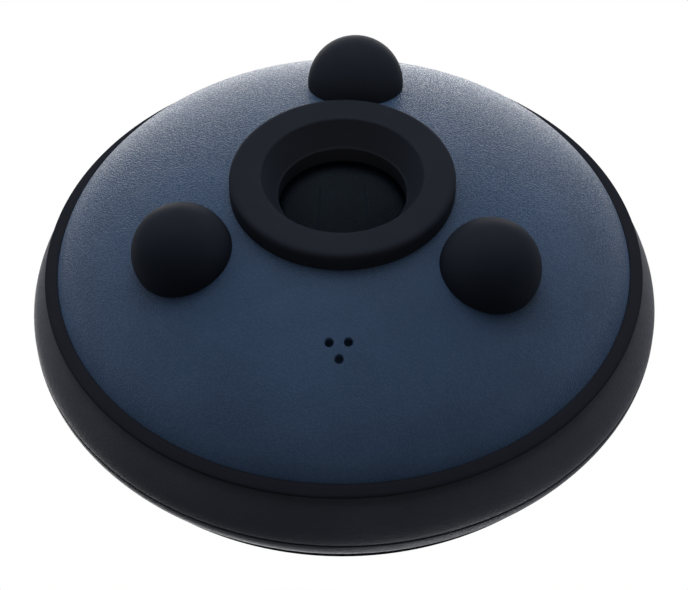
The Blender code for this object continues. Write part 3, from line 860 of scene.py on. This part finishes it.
feet = {}
for index, name in enumerate(FOOT_NAMES):
    feet[name] = make_foot(name, FOOT_FIRST_AZIMUTH + 2 * math.pi * index / len(FOOT_NAMES))
print("feet:", ", ".join(feet))

# %% [markdown]
# ## Finishes
# Every finish is a small tree of nodes on one Principled shader. Image textures could give the
# same grain, but noise in the object's own coordinates stays sharp and needs no unwrapping. The
# few steps that all finishes share become short functions first.

# %% Node helpers
MIX_FIRST = 6
MIX_SECOND = 7
MIX_RESULT = 2


def feed(tree, node, inputs):
    """Give each named input its value: a socket is linked, a plain value is set."""
    for name, value in inputs.items():
        if isinstance(value, bpy.types.NodeSocket):
            tree.links.new(value, node.inputs[name])
        else:
            node.inputs[name].default_value = value


def new_material(name):
    """A new material with its node tree."""
    material = bpy.data.materials.new(name)
    material.use_nodes = True
    return material, material.node_tree


def new_finish(name):
    """A new material, its tree, its shader and the object's own coordinates."""
    material, tree = new_material(name)
    where = tree.nodes.new("ShaderNodeTexCoord").outputs["Object"]
    return material, tree, tree.nodes["Principled BSDF"], where


def noise(tree, where, scale, detail, roughness=0.5):
    """Grey noise with this many waves to the metre."""
    node = tree.nodes.new("ShaderNodeTexNoise")
    feed(tree, node, {"Vector": where, "Scale": scale, "Detail": detail, "Roughness": roughness})
    return node.outputs["Fac"]


def spread(tree, value, low, high, to_low, to_high):
    """Map a value's range onto another range."""
    node = tree.nodes.new("ShaderNodeMapRange")
    feed(tree, node, {"Value": value, "From Min": low, "From Max": high,
                      "To Min": to_low, "To Max": to_high})
    return node.outputs["Result"]


def blend_colours(tree, factor, first, second):
    """First colour at factor 0, second at 1; each is a tuple or a socket."""
    node = tree.nodes.new("ShaderNodeMix")
    node.data_type = "RGBA"
    ends = [(*end, 1.0) if isinstance(end, tuple) else end for end in (first, second)]
    feed(tree, node, {"Factor": factor, MIX_FIRST: ends[0], MIX_SECOND: ends[1]})
    return node.outputs[MIX_RESULT]


def bump(tree, height, distance, strength=1.0, under_bump=None):
    """A normal tilted by the height's slope, on top of another bump if one is given."""
    node = tree.nodes.new("ShaderNodeBump")
    feed(tree, node, {"Height": height, "Distance": distance, "Strength": strength})
    if under_bump is not None:
        tree.links.new(under_bump, node.inputs["Normal"])
    return node.outputs["Normal"]


def maths(tree, operation, first, second, clamp=False):
    """One operation on two sockets."""
    node = tree.nodes.new("ShaderNodeMath")
    node.operation = operation
    node.use_clamp = clamp
    feed(tree, node, {0: first, 1: second})
    return node.outputs[0]


# %% [markdown]
# ### Powder coat
# Powder coat is a thick baked skin, plain where it faces the eye and sparkling at a low angle.
# So the grain is faint in the pigment, as pale specks on its peaks that are part speckle and part
# painted glint, and strong in a thin glaze over it, the shader's coat, which shows mostly at low
# angles. A broad noise keeps large areas from being one flat colour.

# %% Powder coat
GRAIN = {"scale": 1300.0, "detail": 0.5, "height": 0.0012, "glaze_height": 0.0024}
PEEL = {"scale": 420.0, "detail": 2.0, "height": 0.00004, "glaze_height": 0.00006}
DRIFT = {"scale": 28.0, "detail": 3.0, "darkest": 0.92, "lightest": 1.08}
DRIFT_SPREAD = (0.35, 0.65, 0.0, 1.0)
# Pale specks on the fine grain's peaks: part the coat's own speckle, part painted glint
GLINT_SPECK_SPREAD = (0.50, 0.72, 0.0, 0.10)
COAT_ROUGHNESS = (0.3, 0.7, 0.40, 0.52)
COAT_SPECULAR = 0.02
GLAZE_RANGE = (0.38, 0.62)
GLAZE_THINNEST = 0.4
GLAZE_THICKEST = 1.6
GLAZE_IOR = 1.2
GLAZE_ROUGHNESS = 0.30


def powder_coat(name, colour, pale, grain, glaze):
    """Baked coat: fine grain, orange peel, slight drift of tone, pale specks on the grain.

    The specks lighten the grain's peaks: part the coat's own speckle, part painted glint.
    """
    material, tree, shader, where = new_finish(name)
    fine = noise(tree, where, GRAIN["scale"], GRAIN["detail"])
    peel = noise(tree, where, PEEL["scale"], PEEL["detail"])
    drift = noise(tree, where, DRIFT["scale"], DRIFT["detail"])
    tone = blend_colours(tree, spread(tree, drift, *DRIFT_SPREAD),
                         tuple(DRIFT["darkest"] * c for c in colour),
                         tuple(DRIFT["lightest"] * c for c in colour))
    thickness = (GLAZE_THINNEST * glaze, GLAZE_THICKEST * glaze)
    feed(tree, shader, {
        # Base colour lightened on the grain's peaks: part speckle, part painted glint
        "Base Color": blend_colours(tree, spread(tree, fine, *GLINT_SPECK_SPREAD), tone, pale),
        "Roughness": spread(tree, peel, *COAT_ROUGHNESS),
        "Specular IOR Level": COAT_SPECULAR,
        "Normal": bump(tree, fine, GRAIN["height"], grain,
                       bump(tree, peel, PEEL["height"], grain)),
        "Coat Weight": spread(tree, fine, *GLAZE_RANGE, *thickness),
        "Coat Roughness": GLAZE_ROUGHNESS,
        "Coat IOR": GLAZE_IOR,
        "Coat Normal": bump(tree, fine, GRAIN["glaze_height"], 1.0,
                            bump(tree, peel, PEEL["glaze_height"])),
    })
    return material


navy_coat = powder_coat("navy_powder_coat", colour=(0.0212, 0.0388, 0.0745),
                        pale=(0.044, 0.076, 0.128), grain=0.16, glaze=0.48)
charcoal_coat = powder_coat("charcoal_powder_coat", colour=(0.0330, 0.0350, 0.0455),
                            pale=(0.044, 0.046, 0.058), grain=0.16, glaze=0.04)
print("powder coats:", navy_coat.name, charcoal_coat.name)

# %% [markdown]
# ### Rubber
# Moulded rubber is matt and nearly black: a very fine grain, a trace of pale dust and hardly any
# shine. The rings round the domes have none, so that their far side stays dark.

# %% Rubber
MOULD = {"scale": 2600.0, "detail": 2.0, "height": 0.00003, "strength": 0.5}
DUST = {"scale": 45.0, "detail": 4.0, "roughness": 0.6}
DUST_SPREAD = (0.45, 0.75, 0.0, 0.35)
RUBBER_ROUGHNESS = (0.3, 0.7, 0.50, 0.62)


def rubber(name, colour, dust, specular):
    """Moulded rubber: faint grain, a trace of pale dust, hardly any shine."""
    material, tree, shader, where = new_finish(name)
    grain = noise(tree, where, MOULD["scale"], MOULD["detail"])
    cloud = noise(tree, where, **DUST)
    feed(tree, shader, {
        "Base Color": blend_colours(tree, spread(tree, cloud, *DUST_SPREAD), colour, dust),
        "Roughness": spread(tree, cloud, *RUBBER_ROUGHNESS),
        "Specular IOR Level": specular,
        "Normal": bump(tree, grain, MOULD["height"], MOULD["strength"]),
    })
    return material


black_rubber = rubber("black_rubber", colour=(0.0085, 0.0108, 0.0160),
                      dust=(0.0120, 0.0145, 0.0200), specular=0.010)
ring_rubber = rubber("ring_rubber", colour=(0.0104, 0.0115, 0.0155),
                     dust=(0.0135, 0.0145, 0.0190), specular=0.0)
dark_bead = rubber("dark_bead", colour=(0.0035, 0.0035, 0.0040),
                   dust=(0.0070, 0.0070, 0.0075), specular=0.03)
print("rubbers:", black_rubber.name, ring_rubber.name, dark_bead.name)

# %% [markdown]
# ### Metals
# The screws and washers are zinc-plated steel and the inserts are turned brass. All are hidden
# in the drum and its feet, so a plain metal with fine scratches and a little tarnish is enough.

# %% Metals
SCRATCHES = {"scale": 3200.0, "detail": 3.0, "height": 0.00002, "strength": 0.5}
SCRATCH_RANGE = (0.3, 0.7)
SCRATCH_ROUGHNESS = 0.15
TARNISH = {"scale": 240.0, "detail": 3.0}
TARNISH_SPREAD = (0.4, 0.7, 0.0, 0.6)


def plated_metal(name, colour, tarnish, roughness):
    """Plated or turned metal: fine scratches and slight tarnish."""
    material, tree, shader, where = new_finish(name)
    scratches = noise(tree, where, SCRATCHES["scale"], SCRATCHES["detail"])
    cloud = noise(tree, where, **TARNISH)
    dullness = (roughness, roughness + SCRATCH_ROUGHNESS)
    feed(tree, shader, {
        "Base Color": blend_colours(tree, spread(tree, cloud, *TARNISH_SPREAD), colour, tarnish),
        "Roughness": spread(tree, scratches, *SCRATCH_RANGE, *dullness),
        "Metallic": 1.0,
        "Normal": bump(tree, scratches, SCRATCHES["height"], SCRATCHES["strength"]),
    })
    return material


zinc_steel = plated_metal("zinc_steel", (0.60, 0.60, 0.58), (0.42, 0.41, 0.38), 0.28)
brass = plated_metal("brass", (0.72, 0.52, 0.24), (0.48, 0.33, 0.15), 0.30)
print("metals:", zinc_steel.name, brass.name)

# %% [markdown]
# ## Which piece stands for which solid
# Every new piece rides on the drum's one body, takes the place of its solid and takes its finish,
# and its row also lists that finish's slot. The screws, washers and inserts keep their own solids
# with a better finish.

# %% Pieces into the frame
METAL_PARTS = {"insert": brass, "screw": zinc_steel, "washer": zinc_steel}
DRESSED = [
    (bottom_dome, "bottom_shell", navy_coat, "navy_powder_coat"),
    (top_dome, "top_shell", navy_coat, "navy_powder_coat"),
    (rim_band_lower, "rim_lower", charcoal_coat, "charcoal_powder_coat"),
    (rim_band_upper, "rim_upper", charcoal_coat, "charcoal_powder_coat"),
    (channel_bottom, "rubber_ring_bottom", ring_rubber, "black_rubber"),
    (channel_top, "rubber_ring_top", ring_rubber, "black_rubber"),
    (seam_bead, "seam_seal", dark_bead, "dark_sealant"),
    (port_grommet, "port_ring", black_rubber, "black_rubber"),
    *[(foot, name, black_rubber, "black_rubber") for name, foot in feet.items()],
]

for piece, node, finish, slot in DRESSED:
    piece.data.materials.clear()
    piece.data.materials.append(finish)
    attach(piece, "root")
    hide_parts(node)

for node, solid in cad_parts.items():
    for kind, metal in METAL_PARTS.items():
        if kind in node:
            solid.data.materials.clear()
            solid.data.materials.append(metal)
print("dressed pieces:", len(DRESSED))

# %% [markdown]
# ## Studio
# The drum stands on pale paper, yet the photograph's view looks up from under it. A floor hidden
# by hand could be forgotten, so its material does the work: it is clear from below.

# %% Sheets that show from one side only


def one_sided(name, colour):
    """Matt on the back of its faces and clear on their front, unless the factor is linked anew.

    Returns the material, its tree, the socket that tells the back, and the mixing node.
    """
    material, tree = new_material(name)
    tree.nodes.remove(tree.nodes["Principled BSDF"])
    matt = tree.nodes.new("ShaderNodeBsdfDiffuse")
    matt.inputs["Color"].default_value = (*colour, 1.0)
    clear = tree.nodes.new("ShaderNodeBsdfTransparent")
    back = tree.nodes.new("ShaderNodeNewGeometry").outputs["Backfacing"]
    mix = tree.nodes.new("ShaderNodeMixShader")
    feed(tree, mix, {"Fac": back, 1: clear.outputs[0], 2: matt.outputs[0]})
    feed(tree, tree.nodes["Material Output"], {"Surface": mix.outputs[0]})
    return material, tree, back, mix


# %% [markdown]
# ### The floor
# The paper is seen from above, by the camera and by reflections, and takes the drum's shadow. It
# fades with distance, so no horizon shows. Other rays pass, so the low lamps reach the drum.

# %% Floor
FLOOR_SIZE = 12.0
FLOOR_COLOUR = (0.90, 0.90, 0.90)
FADE_START = 0.35
FADE_END = 1.25


def floor_material():
    """White paper for the eye and for reflections from above, fading away from the drum."""
    material, tree, back, mix = one_sided("studio_floor", FLOOR_COLOUR)
    rays = tree.nodes.new("ShaderNodeLightPath").outputs
    seen = maths(tree, "MAXIMUM", rays["Is Camera Ray"], rays["Is Glossy Ray"])
    shown = maths(tree, "SUBTRACT", seen, back, clamp=True)
    away = tree.nodes.new("ShaderNodeVectorMath")
    away.operation = "LENGTH"
    feed(tree, away, {0: tree.nodes.new("ShaderNodeTexCoord").outputs["Object"]})
    near = spread(tree, away.outputs["Value"], FADE_START, FADE_END, 1.0, 0.0)
    feed(tree, mix, {"Fac": maths(tree, "MULTIPLY", shown, near)})
    return material


corner = FLOOR_SIZE / 2
floor_mesh = bpy.data.meshes.new("studio_floor")
floor_mesh.from_pydata([(-corner, -corner, 0.0), (corner, -corner, 0.0),
                        (corner, corner, 0.0), (-corner, corner, 0.0)], [], [(0, 1, 2, 3)])
studio_floor = add_piece("studio_floor", floor_mesh)
studio_floor.data.materials.append(floor_material())
print("floor fades from", FADE_START, "to", FADE_END)

# %% [markdown]
# ### Painted shade under the tongues
# In the photograph the drum lies on its tongues, and no light comes up through their slots. A
# dark sheet drawn through the middle of the top dome's sheet is painted shade for that. It shows
# only from inside, through the port, and from above every ray passes through it.

# %% Painted shade sheet behind the slots
SHADE_SHEET_RADIUS = 0.1180
SHADE_SHEET_ROWS = 24
SHADE_SHEET_AROUND = 96
# Painted shade: a dark navy sheet standing for the shade inside the drum and behind the slots
PAINTED_SHADE_COLOUR = (0.020, 0.038, 0.074)


def make_shade_sheet():
    """Cap of the top dome's ellipse, moved in by half the sheet and facing up."""
    start = angle_at_radius(TOP_DOME, SHADE_SHEET_RADIUS)
    angles = np.linspace(start, math.pi / 2, SHADE_SHEET_ROWS)
    line = over(dome_line(TOP_DOME, angles, -STEEL / 2))
    faces = grid_faces(SHADE_SHEET_ROWS, SHADE_SHEET_AROUND, False)
    mesh = outward_mesh("slot_shade_sheet", turned_grid(line, SHADE_SHEET_AROUND), faces)
    if mesh.polygons[0].normal.z < 0:
        mesh.flip_normals()
    mesh.materials.append(one_sided("slot_shade_sheet", PAINTED_SHADE_COLOUR)[0])
    return add_piece("slot_shade_sheet", mesh)


# The sheet inside the top dome is painted shade, seen from inside only
slot_shade_sheet = make_shade_sheet()
print("cloth faces:", len(slot_shade_sheet.data.polygons))

# %% [markdown]
# ### The world
# A white world would light the drum evenly and flatten it. This one is white only where the
# camera, a reflection or glass looks at it, and it is nearly dark as a source of light.

# %% World
AMBIENT = 0.05
WHITE = (1.0, 1.0, 1.0, 1.0)


def make_world():
    """White where the camera, a reflection or glass looks at it, dimmer as light."""
    world = bpy.data.worlds.new("studio_world")
    world.use_nodes = True
    bpy.context.scene.world = world
    tree = world.node_tree
    tree.nodes.clear()
    output = tree.nodes.new("ShaderNodeOutputWorld")
    seen, light = (tree.nodes.new("ShaderNodeBackground") for _ in range(2))
    feed(tree, seen, {"Color": WHITE})
    feed(tree, light, {"Color": WHITE, "Strength": AMBIENT})
    rays = tree.nodes.new("ShaderNodeLightPath").outputs
    mirrored = maths(tree, "MAXIMUM", rays["Is Camera Ray"], rays["Is Glossy Ray"])
    looked_at = maths(tree, "MAXIMUM", mirrored, rays["Is Transmission Ray"])
    mix = tree.nodes.new("ShaderNodeMixShader")
    feed(tree, mix, {"Fac": looked_at, 1: light.outputs[0], 2: seen.outputs[0]})
    feed(tree, output, {"Surface": mix.outputs[0]})


make_world()
print("world light:", AMBIENT)

# %% [markdown]
# ### Lamps
# Soft lamps stand below and behind for the underside, where the photograph's light comes from,
# and above for the playing side. The lamp named shine is only mirrored, so it draws the pale,
# grainy band on the dome's far side. A narrow spot beside the lens reaches through the port.
# The strengths come from comparing tones with the photograph's.

# %% Lamps
# Place, width and height, and power; the False keeps the shine off matt surfaces
LAMPS = {
    "under": ((0.0, 0.35, -1.5), (1.0, 1.0), 11.0),
    "under_back": ((0.0, 1.0, -1.2), (1.5, 1.5), 23.0),
    "back_left": ((1.0, 1.0, -0.45), (0.8, 0.8), 5.5),
    "back_right": ((-1.0, 1.0, -0.45), (0.8, 0.8), 5.5),
    "left_below": ((1.20, 0.35, -0.65), (0.9, 0.9), 6.0),
    "right_below": ((-1.20, 0.35, -0.65), (0.9, 0.9), 6.0),
    "lens_side": ((0.0, -1.0, -1.0), (0.3, 0.3), 0.8),
    "front_low": ((0.0, -1.3, -0.35), (0.5, 0.3), 1.6),
    "key_above": ((-0.6, -0.7, 1.7), (1.2, 1.2), 30.0),
    "fill_above": ((0.7, 0.5, 1.6), (1.4, 1.4), 15.0),
    "shine": ((0.0, 1.40, 0.25), (1.4, 1.1), 21.8, False),
}
PORT_SPOT_PLACE = (0.0, -0.95, -0.98)
PORT_SPOT_CONE = math.radians(4.2)
PORT_SPOT_POWER = 30.0
PORT_SPOT_COLOUR = (1.0, 0.74, 0.50)
PORT_SPOT_BLEND = 0.6
PORT_SPOT_WIDTH = 0.03


def aimed_lamp(data, place, target_height):
    """Puts a lamp at its place, turned to a point on the drum's axis and never seen itself."""
    lamp = add_piece(data.name, data)
    aim = Vector((0.0, 0.0, target_height)) - Vector(place)
    turn = aim.to_track_quat("-Z", "Y").to_matrix().to_4x4()
    lamp.matrix_world = Matrix.Translation(place) @ turn
    lamp.visible_camera = False
    return lamp


def add_lamp(name, place, size, power, matt=True):
    """A soft lamp of this width and height; with matt off it only shows in shiny surfaces."""
    data = bpy.data.lights.new(name, "AREA")
    data.shape = "RECTANGLE"
    data.size, data.size_y = size
    data.energy = power
    aimed_lamp(data, place, SEAM_Z).visible_diffuse = matt


def add_port_spot():
    """A narrow spot beside the lens that reaches through the port to the inside."""
    data = bpy.data.lights.new("port_spot", "SPOT")
    data.energy = PORT_SPOT_POWER
    data.color = PORT_SPOT_COLOUR
    data.spot_size = PORT_SPOT_CONE
    data.spot_blend = PORT_SPOT_BLEND
    data.shadow_soft_size = PORT_SPOT_WIDTH
    aimed_lamp(data, PORT_SPOT_PLACE, SEAM_Z - PORT_FACE_DEPTH)


for lamp_name, values in LAMPS.items():
    add_lamp(lamp_name, *values)
add_port_spot()
bpy.context.scene.view_settings.view_transform = "Standard"
print("lamps:", ", ".join(LAMPS))
